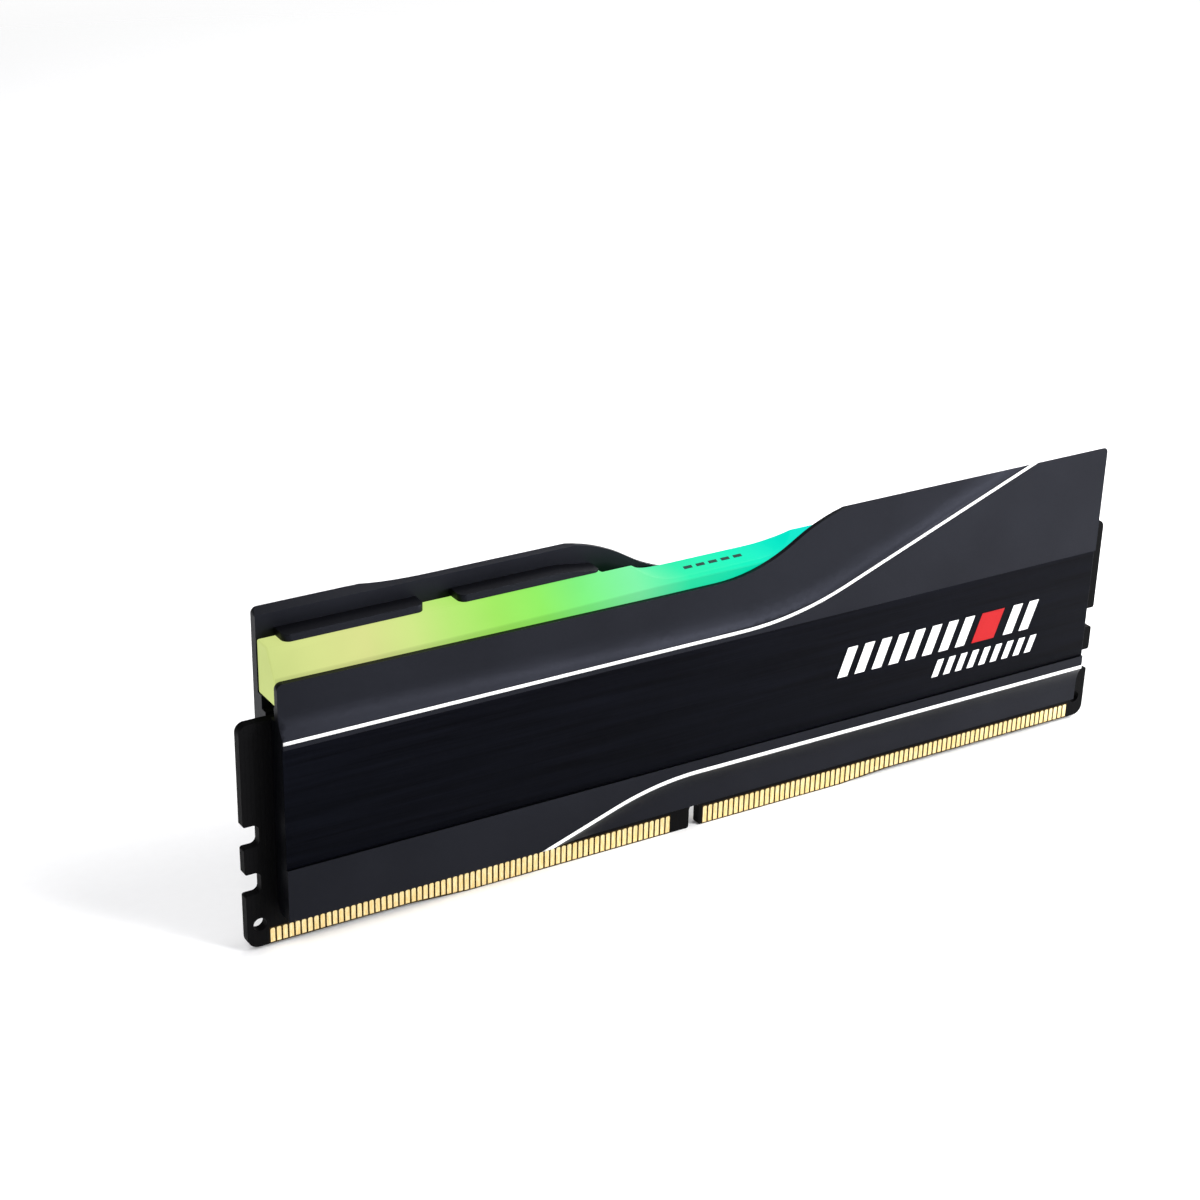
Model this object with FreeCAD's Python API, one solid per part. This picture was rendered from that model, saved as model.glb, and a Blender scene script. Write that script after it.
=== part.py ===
import FreeCAD, Part
import math
import os

# Desktop memory module with a two-part heat spreader and a light bar.
# X runs along the module, Y through its thickness (front face towards -Y), Z up.
# The origin is the middle of the contact edge: x = 0 at mid length, y = 0 at mid
# thickness of the board, z = 0 at the lowest point of the contact edge.
# Millimetres throughout.

V = FreeCAD.Vector

# --- Circuit board ---------------------------------------------------------------
BOARD_LENGTH = 133.35
BOARD_HEIGHT = 31.25
BOARD_THICK = 1.27
BOARD_TOP_RADIUS = 1.2
BOARD_FOOT_RADIUS = 1.5
EDGE_STEP = 0.5          # the contact edge is this much higher at its two ends
EDGE_RAMP = 8.0          # length of each ramp between the middle and an end
EDGE_MIDDLE_FROM = -36.0
EDGE_MIDDLE_TO = 23.0
KEY_CENTRE = -1.35       # middle of the key notch
KEY_WIDTH = 1.6
KEY_DEPTH = 3.3
KEY_RADIUS = 0.6
KEY_MOUTH_RADIUS = 0.35
LATCH_DEPTH = 2.1        # notches at both ends, taken by the socket's latches
LATCH_HEIGHT = 3.0
LATCH_LOW_FROM = 8.0
LATCH_HIGH_FROM = 14.6
LATCH_INNER_RADIUS = 0.8
LATCH_MOUTH_RADIUS = 0.3
BOARD_HOLE_RADIUS = 0.9
BOARD_HOLE_INSET = 1.75  # from the board's end
BOARD_HOLE_HEIGHT = 3.6

# --- Contacts --------------------------------------------------------------------
PAD_PITCH = 0.85
PAD_WIDTH = 0.6
PAD_THICK = 0.035
PAD_TOP = 2.65
PAD_INSET = 0.2          # from the contact edge
PAD_END_INSET = 3.35     # centre of the outermost contact from the board's end
PAD_KEY_LEFT = 3.3       # least distance from the key notch to a contact's centre
PAD_KEY_RIGHT = 0.9      # and on the other side of the notch
PAD_TOP_RADIUS = 0.22

# --- Parts on the board ----------------------------------------------------------
CHIP_WIDTH = 9.0
CHIP_HEIGHT = 11.0
CHIP_THICK = 1.05
CHIP_FOOT = 9.8
CHIP_FIRST = 16.4        # centre of the chips next to the middle
CHIP_END_GAP = 2.8       # outermost chip to the spreader's end wall
CHIPS_PER_SIDE = 4
POWER_DROP = 5.5         # power parts' middle line below the top of the chip room
POWER_CHIP = (5.0, 5.0, 0.85)
POWER_CHIP_AT = (-1.0, 0.0)
INDUCTOR = (2.5, 2.0, 1.2)
INDUCTORS_AT = [(-5.4, 2.8), (-5.4, 0.0), (-5.4, -2.8)]
BULK_CAPACITOR = (1.6, 0.8, 0.8)
BULK_CAPACITORS_AT = [(3.6, 2.7), (3.6, 1.1), (3.6, -0.5), (3.6, -2.1), (-1.0, -4.5), (-1.0, 4.3)]
HUB_CHIP = (3.0, 2.0, 0.75)
HUB_CHIP_AT = (5.2, -7.3)
SMALL_CAPACITOR = (1.0, 0.5, 0.5)
CAPACITORS_PER_CHIP = 5
CAPACITORS_ABOVE_CHIP = 1.4
RESISTOR_ARRAY = (2.0, 1.0, 0.45)
RESISTORS_PER_SIDE = 14
RESISTORS_BELOW_CHIP = 2.4
RESISTOR_FIRST = 9.0
RESISTOR_END_GAP = 2.1   # outermost array to the spreader's end wall
LED = (3.0, 1.1, 0.8)
LED_COUNT = 8
LED_END_GAP = 6.8        # outermost diode to the spreader's end wall
LED_TOP_INSET = 0.3
LED_DRIVER = (4.0, 4.0, 0.8)
LED_DRIVER_AT = (8.6, 2.3)

# --- Thermal pads ----------------------------------------------------------------
THERMAL_PAD_THICK = 0.715
PAD_OVERHANG = 0.8       # thermal pad past the outer chips
REAR_PAD_END_GAP = 1.5
REAR_PAD_FROM = 8.0
REAR_PAD_TOP_GAP = 1.0
POWER_PAD_SIZE = 5.6

# --- Heat spreader ---------------------------------------------------------------
SPREADER_MARGIN = 4.175  # board shown past each end
SPREADER_FOOT = 4.9      # its lower edge
SPREADER_OVER_BAR = 3.6  # its high top edge above the light bar's ridge
SPREADER_SKIN = 1.6      # over the chips, where no relief is pressed
SPREADER_CORNER_RADIUS = 0.8
TOP_SLOPE = 0.5          # fall of the high top edge per mm towards the inside
RISE_FROM = 5.2          # x where the top edge would leave the low line, unrounded
RISE_SLOPE = 0.625
RISE_LOW_RADIUS = 22.0
RISE_HIGH_RADIUS = 24.0
CHIP_ROOM_DROP = 4.25    # top of the chip room below the board's top
LED_GAP = 0.315          # light diodes to the spreader
END_WALL = 1.0
END_WALL_RISE = 0.35     # above the board's top
END_WALL_RADIUS = 1.6
BOARD_GAP = 0.1

# --- Light bar -------------------------------------------------------------------
BAR_OVER_BOARD = 2.15
BAR_HEIGHT = 7.0
BAR_END_GAP = 0.1
BAR_GAP = 0.05           # to each spreader half
BAR_SHEET_END = 0.8      # sheet in front of the bar at the end that shows it
BAR_SHEET = 0.65         # and from BAR_FULL_AT on
BAR_FULL_AT = 10.0       # distance from the middle where the bar has its full width
BAR_HIDDEN = 3.25        # height of the bar behind the spreader's low top edge
BEVEL_END = 0.25         # foot of the sloping face above the low top edge, at the end
BEVEL_FULL = 1.35        # and from BAR_FULL_AT on
FACET_REACH = 16.5       # the sloping face runs this far past the middle
SADDLE_DEPTH = 2.0
SADDLE_FLAT = 5.5        # half length of the saddle's level floor
SADDLE_REACH = 12.2      # half length at the ridge

# --- Relief pressed into the outer face ------------------------------------------
SWEEP_DROP = 6.85        # lower edge of the upper hollow below the low top edge
SWEEP_BEND_AT = 11.0     # x where that edge would turn upwards, unrounded
SWEEP_SLOPE = 0.38
SWEEP_RADIUS = 46.0
SWEEP_DEPTH_END = 1.25   # at the end that shows the light bar
SWEEP_DEPTH = 0.6        # from SWEEP_FULL_AT on
SWEEP_FULL_AT = -8.0
SWEEP_HEIGHT = 3.3       # height of the hollow's curved foot
LOWER_DROP = 2.1         # upper edge of the lower hollow below the inlay
LOWER_BEND_AT = -9.7
LOWER_SLOPE = 0.337
LOWER_RADIUS = 40.0
LOWER_DEPTH = 0.8
LOWER_HEIGHT = 2.8
FOOT_BEND = 0.3          # share of its height at which a hollow's foot bends
BEND_SPANS = 7

# --- Inlay strip -----------------------------------------------------------------
INLAY_FROM = 12.15
INLAY_LEDGE = 1.25       # plain face between the inlay and the upper hollow
INLAY_RECESS = 0.55
INLAY_THICK = 0.3
INLAY_GAP = 0.05

# --- Tabs bent over the light bar ------------------------------------------------
TAB_THICK = 0.95
TAB_GAP = 0.04
OUTER_TAB_INSET = 2.4    # from the spreader's end
OUTER_TAB_LENGTH = 18.7
INNER_TAB_INSET = 25.9
INNER_TAB_LENGTH = 20.0
TAB_RAMP = 5.2           # the inner tab thins out over this length
TAB_THIN_END = 0.15
TAB_RADIUS = 1.0

# --- Sizes that follow -----------------------------------------------------------
BOARD_FACE = BOARD_THICK / 2
HALF_BOARD = BOARD_LENGTH / 2
HALF_SPREADER = HALF_BOARD - SPREADER_MARGIN
ROOM_END = HALF_SPREADER - END_WALL
CHIP_ROOM_TOP = BOARD_HEIGHT - CHIP_ROOM_DROP
CHIP_ROOM_FACE = BOARD_FACE + CHIP_THICK + THERMAL_PAD_THICK
UPPER_INNER_FACE = BOARD_FACE + LED[2] + LED_GAP
SPREADER_FACE = CHIP_ROOM_FACE + SPREADER_SKIN
RECESS_FACE = SPREADER_FACE - INLAY_RECESS
SWEEP_FACE_END = SPREADER_FACE - SWEEP_DEPTH_END
SWEEP_FACE = SPREADER_FACE - SWEEP_DEPTH
LOWER_FACE = SPREADER_FACE - LOWER_DEPTH
BAR_FACE_END = SWEEP_FACE_END - BAR_SHEET_END - BAR_GAP
BAR_FACE = SWEEP_FACE - BAR_SHEET - BAR_GAP
BAR_FOOT = BOARD_HEIGHT + BAR_OVER_BOARD
BAR_RIDGE = BAR_FOOT + BAR_HEIGHT
LOW_TOP = BAR_FOOT + BAR_HIDDEN
SPREADER_HEIGHT = BAR_RIDGE + SPREADER_OVER_BAR
SWEEP_EDGE = LOW_TOP - SWEEP_DROP
INLAY_TO = SWEEP_EDGE - INLAY_LEDGE
LOWER_EDGE = INLAY_FROM - LOWER_DROP
BEYOND = 1.0             # how far cutting solids run past what they cut


# --- Drawing helpers -------------------------------------------------------------
def box(x0, x1, y0, y1, z0, z1):
    return Part.makeBox(x1 - x0, y1 - y0, z1 - z0, V(x0, y0, z0))


def rounded_wire(corners, place):
    """A closed wire through corners (a, b, radius), each put in space by place."""
    count = len(corners)
    starts, ends, mids = [], [], []
    for i, (a, b, radius) in enumerate(corners):
        here = V(a, b, 0)
        before = V(*corners[i - 1][:2], 0) - here
        after = V(*corners[(i + 1) % count][:2], 0) - here
        before.normalize()
        after.normalize()
        half = before.getAngle(after) / 2
        reach = radius / math.tan(half) if radius else 0.0
        starts.append(here + before * reach)
        ends.append(here + after * reach)
        middle = before + after
        if radius:
            middle.normalize()
            mids.append(here + middle * (radius / math.sin(half) - radius))
        else:
            mids.append(None)
    edges = []
    for i in range(count):
        if mids[i] is not None:
            edges.append(Part.Arc(place(starts[i]), place(mids[i]), place(ends[i])).toShape())
        following = starts[(i + 1) % count]
        if ends[i].distanceToPoint(following) > 1e-6:
            edges.append(Part.LineSegment(place(ends[i]), place(following)).toShape())
    return Part.Wire(edges)


def slab(corners, y0, y1):
    """A solid between y0 and y1 whose outline in X and Z is given by corners."""
    face = Part.Face(rounded_wire(corners, lambda p: V(p.x, y0, p.y)))
    return face.extrude(V(0, y1 - y0, 0))


def column(corners, z0, z1):
    """A solid between z0 and z1 whose outline in X and Y is given by corners."""
    face = Part.Face(rounded_wire([(x, y, 0) for x, y in corners], lambda p: V(p.x, p.y, z0)))
    return face.extrude(V(0, 0, z1 - z0))


def turned(shape):
    """The same shape turned half way round the vertical axis."""
    copy = shape.copy()
    copy.rotate(V(0, 0, 0), V(0, 0, 1), 180)
    return copy


def on_front(size, at, foot=BOARD_FACE):
    """A block of size (x, z, thickness) at the front, centred at (x, z), standing on foot."""
    width, height, thick = size
    x, z = at
    return box(x - width / 2, x + width / 2, -foot - thick, -foot, z - height / 2, z + height / 2)


def bent_line(x, level, bend_at, slope, radius):
    """Height at x of a level line that turns to a slope at bend_at, with a round bend.

    A slope for x below the bend is given by a negative radius.
    """
    side = 1.0 if radius > 0 else -1.0
    angle = math.atan(slope)
    reach = abs(radius) * math.tan(angle / 2)
    run = (x - bend_at) * side
    if run <= -reach:
        return level
    if run >= reach * math.cos(angle):
        return level + side * slope * run
    drop = abs(radius) - math.sqrt(radius ** 2 - (run + reach) ** 2)
    return level + side * drop


def sweep_edge(x):
    return bent_line(x, SWEEP_EDGE, SWEEP_BEND_AT, SWEEP_SLOPE, SWEEP_RADIUS)


def lower_edge(x):
    return bent_line(x, LOWER_EDGE, LOWER_BEND_AT, LOWER_SLOPE, -LOWER_RADIUS)


def sweep_face(x):
    """Depth of the upper hollow's upright part, from the middle of the board."""
    share = (x + HALF_SPREADER) / (SWEEP_FULL_AT + HALF_SPREADER)
    share = min(max(share, 0.0), 1.0)
    return SWEEP_FACE_END + (SWEEP_FACE - SWEEP_FACE_END) * share


def edge_height(x):
    """Height of the board's contact edge at x."""
    if x < EDGE_MIDDLE_FROM:
        return EDGE_STEP * min((EDGE_MIDDLE_FROM - x) / EDGE_RAMP, 1.0)
    if x > EDGE_MIDDLE_TO:
        return EDGE_STEP * min((x - EDGE_MIDDLE_TO) / EDGE_RAMP, 1.0)
    return 0.0


# --- Board and contacts ----------------------------------------------------------
def latch_notches(side):
    """Corners of the two notches in one end, listed from the bottom up."""
    end = side * HALF_BOARD
    inner = end - side * LATCH_DEPTH
    corners = []
    for low in (LATCH_LOW_FROM, LATCH_HIGH_FROM):
        high = low + LATCH_HEIGHT
        corners += [(end, low, LATCH_MOUTH_RADIUS), (inner, low, LATCH_INNER_RADIUS)]
        corners += [(inner, high, LATCH_INNER_RADIUS), (end, high, LATCH_MOUTH_RADIUS)]
    return corners


def circuit_board():
    key_from = KEY_CENTRE - KEY_WIDTH / 2
    key_to = KEY_CENTRE + KEY_WIDTH / 2
    outline = [
        (-HALF_BOARD, EDGE_STEP, BOARD_FOOT_RADIUS),
        (EDGE_MIDDLE_FROM - EDGE_RAMP, EDGE_STEP, 0),
        (EDGE_MIDDLE_FROM, 0, 0),
        (key_from, 0, KEY_MOUTH_RADIUS),
        (key_from, KEY_DEPTH, KEY_RADIUS),
        (key_to, KEY_DEPTH, KEY_RADIUS),
        (key_to, 0, KEY_MOUTH_RADIUS),
        (EDGE_MIDDLE_TO, 0, 0),
        (EDGE_MIDDLE_TO + EDGE_RAMP, EDGE_STEP, 0),
        (HALF_BOARD, EDGE_STEP, BOARD_FOOT_RADIUS),
    ]
    outline += latch_notches(1)
    outline += [(side * HALF_BOARD, BOARD_HEIGHT, BOARD_TOP_RADIUS) for side in (1, -1)]
    outline += list(reversed(latch_notches(-1)))
    board = slab(outline, -BOARD_FACE, BOARD_FACE)
    for side in (-1, 1):
        start = V(side * (HALF_BOARD - BOARD_HOLE_INSET), -BOARD_THICK, BOARD_HOLE_HEIGHT)
        board = board.cut(Part.makeCylinder(BOARD_HOLE_RADIUS, 2 * BOARD_THICK, start, V(0, 1, 0)))
    return board


def contact_pad(x):
    """One plated contact on the front face."""
    low = max(edge_height(x - PAD_WIDTH / 2), edge_height(x + PAD_WIDTH / 2)) + PAD_INSET
    left = x - PAD_WIDTH / 2
    right = x + PAD_WIDTH / 2
    outline = [
        (left, low, 0),
        (right, low, 0),
        (right, PAD_TOP, PAD_TOP_RADIUS),
        (left, PAD_TOP, PAD_TOP_RADIUS),
    ]
    return slab(outline, -BOARD_FACE - PAD_THICK, -BOARD_FACE)


def contact_places(side, clear):
    """Centres of the contacts on one side of the key notch, from the end inwards."""
    first = side * (HALF_BOARD - PAD_END_INSET)
    wall = KEY_CENTRE + side * KEY_WIDTH / 2
    count = int((abs(first - wall) - clear) / PAD_PITCH) + 1
    return [first - side * i * PAD_PITCH for i in range(count)]


def contact_rows():
    left = contact_places(-1, PAD_KEY_LEFT)
    right = contact_places(1, PAD_KEY_RIGHT)
    to_rear = V(0, BOARD_THICK + PAD_THICK, 0)
    rows = {}
    for name, places in (("left", left), ("right", right)):
        pads = [contact_pad(x) for x in places]
        rows["contacts_front_" + name] = Part.makeCompound(pads)
        rows["contacts_rear_" + name] = Part.makeCompound([pad.translated(to_rear) for pad in pads])
    return rows


# --- Heat spreader ---------------------------------------------------------------
def spreader_outline():
    """The front half's outline in X and Z. Its high end is at +X."""
    rise = (SPREADER_HEIGHT - LOW_TOP) / RISE_SLOPE
    slant = math.hypot(rise, SPREADER_HEIGHT - LOW_TOP)
    reach = math.tan(math.atan(RISE_SLOPE) / 2)
    high_radius = min(RISE_HIGH_RADIUS, slant / reach - RISE_LOW_RADIUS)
    return [
        (-HALF_SPREADER, SPREADER_FOOT, 0),
        (HALF_SPREADER, SPREADER_FOOT, 0),
        (HALF_SPREADER, SPREADER_HEIGHT, SPREADER_CORNER_RADIUS),
        (RISE_FROM + rise, SPREADER_HEIGHT, high_radius),
        (RISE_FROM, LOW_TOP, RISE_LOW_RADIUS),
        (-HALF_SPREADER, LOW_TOP, SPREADER_CORNER_RADIUS),
    ]


def hollow_section(x, edge, depth, curve, limit):
    """Outline at x of what is cut away beyond a hollow's curved foot.

    It starts at height edge on the outer face, curves in to depth over the height
    curve (negative for downwards) and runs straight on to limit.
    """
    outside = SPREADER_FACE + BEYOND
    start = V(x, -SPREADER_FACE, edge)
    bend = V(x, -depth, edge + FOOT_BEND * curve)
    finish = V(x, -depth, edge + curve)
    foot = Part.BezierCurve()
    foot.setPoles([start, bend, finish])
    straight = [finish, V(x, -depth, limit), V(x, -outside, limit), V(x, -outside, edge), start]
    edges = [foot.toShape()]
    edges += [Part.LineSegment(a, b).toShape() for a, b in zip(straight, straight[1:])]
    return Part.Wire(edges)


def stations(start, stop, spans):
    """Evenly spaced values from start to stop."""
    return [start + (stop - start) * i / spans for i in range(spans + 1)]


def hollow(edge_at, depth_at, curve, limit, runs):
    """The solids that cut a hollow, one for each run (start, stop, spans) along X."""
    tools = []
    for start, stop, spans in runs:
        places = stations(start, stop, spans)
        wires = [hollow_section(x, edge_at(x), depth_at(x), curve, limit) for x in places]
        tools.append(Part.makeLoft(wires, True, spans == 1))
    return tools


def sweep_tools():
    """The solids that cut the upper hollow of the front half."""
    reach = HALF_SPREADER + BEYOND
    bend = SWEEP_RADIUS * math.tan(math.atan(SWEEP_SLOPE) / 2)
    bend_from = SWEEP_BEND_AT - bend
    bend_to = SWEEP_BEND_AT + bend * math.cos(math.atan(SWEEP_SLOPE))
    limit = max(SPREADER_HEIGHT, sweep_edge(reach)) + 2 * SWEEP_HEIGHT
    runs = [
        (-reach, SWEEP_FULL_AT, 1), (SWEEP_FULL_AT, bend_from, 1),
        (bend_from, bend_to, BEND_SPANS), (bend_to, reach, 1),
    ]
    return hollow(sweep_edge, sweep_face, SWEEP_HEIGHT, limit, runs)


def lower_tools():
    """The solids that cut the lower hollow of the front half."""
    reach = HALF_SPREADER + BEYOND
    bend = LOWER_RADIUS * math.tan(math.atan(LOWER_SLOPE) / 2)
    bend_from = LOWER_BEND_AT - bend * math.cos(math.atan(LOWER_SLOPE))
    bend_to = LOWER_BEND_AT + bend
    start = LOWER_BEND_AT - (LOWER_EDGE - SPREADER_FOOT + 2 * BEYOND) / LOWER_SLOPE
    limit = SPREADER_FOOT - 3 * LOWER_HEIGHT
    runs = [(start, bend_from, 1), (bend_from, bend_to, BEND_SPANS), (bend_to, reach, 1)]
    return hollow(lower_edge, lambda x: LOWER_FACE, -LOWER_HEIGHT, limit, runs)


def bar_plan(end, gap):
    """Plan of the light bar up to x = end, widened by gap; its shown face is at -Y, -X."""
    taper = (BAR_FACE - BAR_FACE_END) / (HALF_SPREADER - BAR_FULL_AT)
    narrow = BAR_FACE - taper * (end - BAR_FULL_AT) + gap
    wide = BAR_FACE + gap
    return [
        (-end, -narrow), (-BAR_FULL_AT, -wide), (end, -wide),
        (end, narrow), (BAR_FULL_AT, wide), (-end, wide),
    ]


def tab(start, stop):
    """A tab of the front half from x = start to stop, lying flat on the light bar."""
    foot = BAR_RIDGE + TAB_GAP
    root = -BAR_FACE - 2 * BAR_GAP
    plan = [(start, root, 0), (stop, root, 0), (stop, 0, TAB_RADIUS), (start, 0, TAB_RADIUS)]
    face = Part.Face(rounded_wire(plan, lambda p: V(p.x, p.y, foot)))
    return face.extrude(V(0, 0, TAB_THICK))


def tabs():
    """The front half's two tabs, behind its high top edge; the inner one thins out."""
    outer_end = HALF_SPREADER - OUTER_TAB_INSET
    inner_end = HALF_SPREADER - INNER_TAB_INSET
    outer = tab(outer_end - OUTER_TAB_LENGTH, outer_end)
    inner = tab(inner_end - INNER_TAB_LENGTH, inner_end)
    thin = inner_end - INNER_TAB_LENGTH
    foot = BAR_RIDGE + TAB_GAP
    above = foot + TAB_THICK + BEYOND
    ramp = [
        (thin, foot + TAB_THIN_END, 0), (thin + TAB_RAMP, foot + TAB_THICK, 0),
        (thin + TAB_RAMP, above, 0), (thin - BEYOND, above, 0), (thin - BEYOND, foot + TAB_THIN_END, 0),
    ]
    return [outer, inner.cut(slab(ramp, -BAR_FACE - BEYOND, BEYOND))]


def top_wedge():
    """What is cut off the high top edge so that it falls towards the inside."""
    over = SPREADER_FACE
    edge = [
        V(RISE_FROM, -over, SPREADER_HEIGHT), V(RISE_FROM, 0, SPREADER_HEIGHT - TOP_SLOPE * over),
        V(RISE_FROM, 0, SPREADER_HEIGHT + over), V(RISE_FROM, -over, SPREADER_HEIGHT + over),
    ]
    return Part.Face(Part.makePolygon(edge + edge[:1])).extrude(V(HALF_SPREADER, 0, 0))


def end_wall(side):
    """The wall that closes one end of the chip room, with its lower inner corner rounded."""
    inner = side * ROOM_END
    outer = side * HALF_SPREADER
    left = min(inner, outer)
    right = max(inner, outer)
    top = BOARD_HEIGHT + END_WALL_RISE
    wall = box(left, right, -CHIP_ROOM_FACE, -BOARD_FACE - BOARD_GAP, SPREADER_FOOT, top)
    return wall.makeFillet(END_WALL_RADIUS, [edge for edge in wall.Edges if is_foot_corner(edge)])


def spreader_half():
    """The front half of the spreader, as one folded and pressed plate."""
    plate = slab(spreader_outline(), -SPREADER_FACE, -UPPER_INNER_FACE)
    reach = HALF_SPREADER + BEYOND
    cuts = [
        box(-ROOM_END, ROOM_END, -CHIP_ROOM_FACE, 0, SPREADER_FOOT - BEYOND, CHIP_ROOM_TOP),
        box(-reach, reach, -SPREADER_FACE - BEYOND, -RECESS_FACE, INLAY_FROM, INLAY_TO),
        top_wedge(),
        column(bar_plan(reach, BAR_GAP), BAR_FOOT, SPREADER_HEIGHT + BEYOND),
    ]
    for tool in cuts + sweep_tools() + lower_tools():
        plate = plate.cut(tool)
    half = plate.multiFuse([end_wall(-1), end_wall(1)] + tabs())
    return half.removeSplitter()


def is_foot_corner(edge):
    """The end wall's lower edge next to the board."""
    near = 1e-4
    extent = edge.BoundBox
    at_board = abs(extent.YMin + BOARD_FACE + BOARD_GAP) < near
    return at_board and extent.YLength < near and abs(extent.ZMax - SPREADER_FOOT) < near


def inlay():
    """The brushed strip in the front half's recess."""
    low = INLAY_FROM + INLAY_GAP
    high = INLAY_TO - INLAY_GAP
    return box(-HALF_SPREADER, HALF_SPREADER, -RECESS_FACE - INLAY_THICK, -RECESS_FACE, low, high)


# --- Light bar -------------------------------------------------------------------
def facet_section(x, face, foot):
    """Outline at x of what is cut away above the bar's sloping face."""
    slope = (BAR_RIDGE - foot) / face
    outer = BAR_FACE + BEYOND
    above = BAR_RIDGE + BEYOND
    points = [(-outer, BAR_RIDGE - slope * outer), (0, BAR_RIDGE), (0, above), (-outer, above)]
    return Part.makePolygon([V(x, y, z) for y, z in points + points[:1]])


def bar_facet():
    """The solids that cut the sloping face shown over the front half's low edge."""
    first = facet_section(-HALF_SPREADER - BEYOND, BAR_FACE_END, LOW_TOP + BEVEL_END)
    middle = facet_section(-BAR_FULL_AT, BAR_FACE, LOW_TOP + BEVEL_FULL)
    last = facet_section(FACET_REACH, BAR_FACE, LOW_TOP + BEVEL_FULL)
    return [Part.makeLoft([first, middle], True, True), Part.makeLoft([middle, last], True, True)]


def saddle():
    """The solid that cuts the saddle across the middle of the bar's ridge."""
    front = -BAR_FACE - BEYOND
    floor = BAR_RIDGE - SADDLE_DEPTH
    above = BAR_RIDGE + BEYOND
    ease = (SADDLE_REACH - SADDLE_FLAT) / 3
    edges = []
    for side in (-1, 1):
        flank = Part.BezierCurve()
        flank.setPoles([
            V(side * SADDLE_REACH, front, BAR_RIDGE), V(side * (SADDLE_REACH - ease), front, floor),
            V(side * (SADDLE_FLAT + ease), front, floor), V(side * SADDLE_FLAT, front, floor),
        ])
        edges.append(flank.toShape())
    rim = [
        V(SADDLE_REACH, front, BAR_RIDGE), V(SADDLE_REACH, front, above),
        V(-SADDLE_REACH, front, above), V(-SADDLE_REACH, front, BAR_RIDGE),
    ]
    edges += [Part.LineSegment(a, b).toShape() for a, b in zip(rim, rim[1:])]
    edges.append(Part.LineSegment(V(-SADDLE_FLAT, front, floor), V(SADDLE_FLAT, front, floor)).toShape())
    outline = Part.Wire(Part.__sortEdges__(edges))
    return Part.Face(outline).extrude(V(0, -2 * front, 0))


def light_bar():
    bar = column(bar_plan(HALF_SPREADER - BAR_END_GAP, 0), BAR_FOOT, BAR_RIDGE)
    for tool in bar_facet():
        bar = bar.cut(tool)
        bar = bar.cut(turned(tool))
    return bar.cut(saddle()).removeSplitter()


# --- Parts on the board and thermal pads -----------------------------------------
def chip_centres():
    """Centres of all memory chips along X, from left to right."""
    last = ROOM_END - CHIP_END_GAP - CHIP_WIDTH / 2
    right = stations(CHIP_FIRST, last, CHIPS_PER_SIDE - 1)
    return [-x for x in reversed(right)] + right


def at_power(place):
    """A place given from the power parts' middle line, as (x, z) on the board."""
    return (place[0], CHIP_ROOM_TOP - POWER_DROP + place[1])


def power_parts():
    parts = {
        "power_manager_chip": on_front(POWER_CHIP, at_power(POWER_CHIP_AT)),
        "presence_hub_chip": on_front(HUB_CHIP, at_power(HUB_CHIP_AT)),
        "led_driver_chip": on_front(LED_DRIVER, at_power(LED_DRIVER_AT)),
    }
    for number, place in enumerate(INDUCTORS_AT, 1):
        parts["power_inductor_%d" % number] = on_front(INDUCTOR, at_power(place))
    bulk = [on_front(BULK_CAPACITOR, at_power(place)) for place in BULK_CAPACITORS_AT]
    parts["bulk_capacitors"] = Part.makeCompound(bulk)
    return parts


def memory_parts():
    parts = {}
    small = []
    for number, x in enumerate(chip_centres(), 1):
        chip = on_front((CHIP_WIDTH, CHIP_HEIGHT, CHIP_THICK), (x, CHIP_FOOT + CHIP_HEIGHT / 2))
        parts["memory_chip_%d" % number] = chip
        spread = CHIP_WIDTH / CAPACITORS_PER_CHIP
        line = CHIP_FOOT + CHIP_HEIGHT + CAPACITORS_ABOVE_CHIP
        for i in range(CAPACITORS_PER_CHIP):
            small.append(on_front(SMALL_CAPACITOR, (x + (i - (CAPACITORS_PER_CHIP - 1) / 2) * spread, line)))
    parts["decoupling_capacitors"] = Part.makeCompound(small)
    arrays = []
    last = ROOM_END - RESISTOR_END_GAP - RESISTOR_ARRAY[0] / 2
    for x in stations(RESISTOR_FIRST, last, RESISTORS_PER_SIDE - 1):
        for side in (-1, 1):
            arrays.append(on_front(RESISTOR_ARRAY, (side * x, CHIP_FOOT - RESISTORS_BELOW_CHIP)))
    parts["damping_resistors"] = Part.makeCompound(arrays)
    return parts


def light_diodes():
    last = ROOM_END - LED_END_GAP - LED[0] / 2
    line = BOARD_HEIGHT - LED_TOP_INSET - LED[1] / 2
    places = stations(-last, last, LED_COUNT - 1)
    return {"light_diode_%d" % number: on_front(LED, (x, line)) for number, x in enumerate(places, 1)}


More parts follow.
